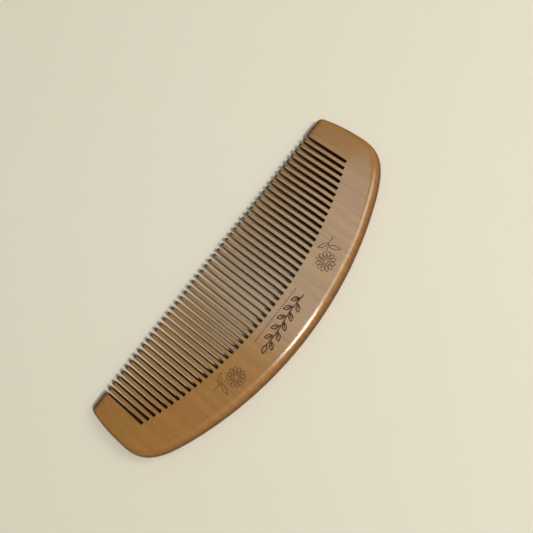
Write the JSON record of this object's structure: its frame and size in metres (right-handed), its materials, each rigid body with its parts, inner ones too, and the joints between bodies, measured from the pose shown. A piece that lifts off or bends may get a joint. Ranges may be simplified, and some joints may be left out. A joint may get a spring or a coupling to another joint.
{
  "type": "hair comb",
  "caption": "Wide wooden hair comb with an arched back, a wide guard at each end and fine straight teeth that thin towards rounded tips.",
  "frame": {"origin": "under the middle of the bounding box, on the surface that the comb's lower face rests on", "axes": "+X along the comb's length, +Y from the tooth tips towards the arched back, +Z out of the engraved upper face"},
  "size_m": [0.18, 0.061, 0.009],
  "materials": {
    "wood": "smooth sanded and oiled, satin, with fine straight grain"
  },
  "bodies": {
    "root": {"back": "wood", "guard_left": "wood", "guard_right": "wood", "tooth_01": "wood", "tooth_02": "wood", "tooth_03": "wood", "tooth_04": "wood", "tooth_05": "wood", "tooth_06": "wood", "tooth_07": "wood", "tooth_08": "wood", "tooth_09": "wood", "tooth_10": "wood", "tooth_11": "wood", "tooth_12": "wood", "tooth_13": "wood", "tooth_14": "wood", "tooth_15": "wood", "tooth_16": "wood", "tooth_17": "wood", "tooth_18": "wood", "tooth_19": "wood", "tooth_20": "wood", "tooth_21": "wood", "tooth_22": "wood", "tooth_23": "wood", "tooth_24": "wood", "tooth_25": "wood", "tooth_26": "wood", "tooth_27": "wood", "tooth_28": "wood", "tooth_29": "wood", "tooth_30": "wood", "tooth_31": "wood", "tooth_32": "wood", "tooth_33": "wood", "tooth_34": "wood", "tooth_35": "wood", "tooth_36": "wood", "tooth_37": "wood", "tooth_38": "wood", "tooth_39": "wood", "tooth_40": "wood", "tooth_41": "wood", "tooth_42": "wood", "tooth_43": "wood", "tooth_44": "wood", "tooth_45": "wood", "tooth_46": "wood", "tooth_47": "wood", "tooth_48": "wood"}
  },
  "joints": []
}
